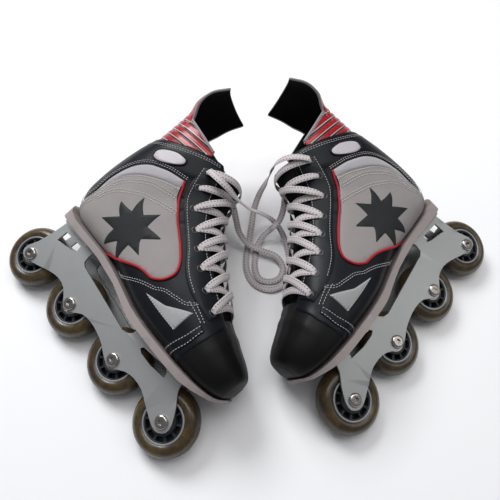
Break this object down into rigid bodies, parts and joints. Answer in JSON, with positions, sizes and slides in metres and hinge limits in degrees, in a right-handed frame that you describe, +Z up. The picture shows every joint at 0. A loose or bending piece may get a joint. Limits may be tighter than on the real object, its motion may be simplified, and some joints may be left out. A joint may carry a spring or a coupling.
{
  "type": "in-line skates",
  "caption": "Pair of in-line hockey skates lying on their inner sides, laces tied together, with spinning wheels and flexing tendon guards.",
  "frame": {"origin": "on the floor under the middle of the pair's box, free laces left out", "axes": "+X from the right skate to the left one, +Y from the toes towards the cuffs, +Z up; both skates lie on their inner sides"},
  "size_m": [0.5897, 0.4121, 0.1493],
  "materials": {
    "urethane": "translucent amber cast urethane",
    "hub_plastic": "black moulded nylon",
    "bearing_steel": "ground",
    "frame_metal": "satin, bright cut edges",
    "bolt_chrome": "polished",
    "sole_plastic": "light grey moulded",
    "footbed_foam": "cloth over foam",
    "black_upper": "satin coated synthetic leather",
    "toe_plastic": "satin moulded",
    "grey_panel": "fine ribbed nylon",
    "lining_felt": "brushed felt",
    "red_guard": "glossy ribbed",
    "tongue_felt": "felt over foam",
    "eyelet_black": "black enamel",
    "lace_cloth": "woven flat lace"
  },
  "bodies": {
    "pair": {"right_frame": "frame_metal", "right_axle_bolts": "bolt_chrome", "right_axle_nuts": "bolt_chrome", "right_inner_races": "bearing_steel", "right_spacers": "frame_metal", "right_rivets": "bearing_steel", "right_outsole": "sole_plastic", "right_footbed": "footbed_foam", "right_shell": "black_upper", "right_toe_cap": "toe_plastic", "right_side_panels": "grey_panel", "right_collar_padding": "lining_felt", "right_tongue": "tongue_felt", "right_eyelets": "eyelet_black", "right_lace": "lace_cloth", "right_lining": "lining_felt", "left_frame": "frame_metal", "left_axle_bolts": "bolt_chrome", "left_axle_nuts": "bolt_chrome", "left_inner_races": "bearing_steel", "left_spacers": "frame_metal", "left_rivets": "bearing_steel", "left_outsole": "sole_plastic", "left_footbed": "footbed_foam", "left_shell": "black_upper", "left_toe_cap": "toe_plastic", "left_side_panels": "grey_panel", "left_collar_padding": "lining_felt", "left_tongue": "tongue_felt", "left_eyelets": "eyelet_black", "left_lace": "lace_cloth", "left_lining": "lining_felt", "outer_free_lace": "lace_cloth", "inner_free_lace": "lace_cloth"},
    "right_wheel_1": {"right_tyre_1": "urethane", "right_hub_1": "hub_plastic", "right_bearings_1": "bearing_steel"},
    "right_wheel_2": {"right_tyre_2": "urethane", "right_hub_2": "hub_plastic", "right_bearings_2": "bearing_steel"},
    "right_wheel_3": {"right_tyre_3": "urethane", "right_hub_3": "hub_plastic", "right_bearings_3": "bearing_steel"},
    "right_wheel_4": {"right_tyre_4": "urethane", "right_hub_4": "hub_plastic", "right_bearings_4": "bearing_steel"},
    "right_guard": {"right_tendon_guard": "red_guard"},
    "left_wheel_1": {"left_tyre_1": "urethane", "left_hub_1": "hub_plastic", "left_bearings_1": "bearing_steel"},
    "left_wheel_2": {"left_tyre_2": "urethane", "left_hub_2": "hub_plastic", "left_bearings_2": "bearing_steel"},
    "left_wheel_3": {"left_tyre_3": "urethane", "left_hub_3": "hub_plastic", "left_bearings_3": "bearing_steel"},
    "left_wheel_4": {"left_tyre_4": "urethane", "left_hub_4": "hub_plastic", "left_bearings_4": "bearing_steel"},
    "left_guard": {"left_tendon_guard": "red_guard"}
  },
  "joints": [
    {"name": "right_wheel_1_spin", "type": "hinge", "parent": "pair", "child": "right_wheel_1", "pos_m": [-0.25949, 0.01911, 0.0198], "axis": [-0.2353, -0.2003, 0.9511], "continuous": true},
    {"name": "right_wheel_2_spin", "type": "hinge", "parent": "pair", "child": "right_wheel_2", "pos_m": [-0.2057, -0.0441, 0.0198], "axis": [-0.2353, -0.2003, 0.9511], "continuous": true},
    {"name": "right_wheel_3_spin", "type": "hinge", "parent": "pair", "child": "right_wheel_3", "pos_m": [-0.1519, -0.1073, 0.0198], "axis": [-0.2353, -0.2003, 0.9511], "continuous": true},
    {"name": "right_wheel_4_spin", "type": "hinge", "parent": "pair", "child": "right_wheel_4", "pos_m": [-0.09811, -0.17051, 0.0198], "axis": [-0.2353, -0.2003, 0.9511], "continuous": true},
    {"name": "right_guard_flex", "type": "hinge", "parent": "pair", "child": "right_guard", "pos_m": [-0.11822, 0.14, 0.08021], "axis": [-0.2353, -0.2003, 0.9511], "range_deg": [0, 10], "stiffness_Nm_per_rad": 2},
    {"name": "left_wheel_1_spin", "type": "hinge", "parent": "pair", "child": "left_wheel_1", "pos_m": [0.25939, 0.03098, 0.0198], "axis": [0.2286, -0.208, 0.9511], "continuous": true},
    {"name": "left_wheel_2_spin", "type": "hinge", "parent": "pair", "child": "left_wheel_2", "pos_m": [0.20353, -0.03041, 0.0198], "axis": [0.2286, -0.208, 0.9511], "continuous": true},
    {"name": "left_wheel_3_spin", "type": "hinge", "parent": "pair", "child": "left_wheel_3", "pos_m": [0.14767, -0.09179, 0.0198], "axis": [0.2286, -0.208, 0.9511], "continuous": true},
    {"name": "left_wheel_4_spin", "type": "hinge", "parent": "pair", "child": "left_wheel_4", "pos_m": [0.09181, -0.15318, 0.0198], "axis": [0.2286, -0.208, 0.9511], "continuous": true},
    {"name": "left_guard_flex", "type": "hinge", "parent": "pair", "child": "left_guard", "pos_m": [0.12221, 0.15649, 0.08021], "axis": [-0.2286, 0.208, -0.9511], "range_deg": [0, 10], "stiffness_Nm_per_rad": 2}
  ]
}
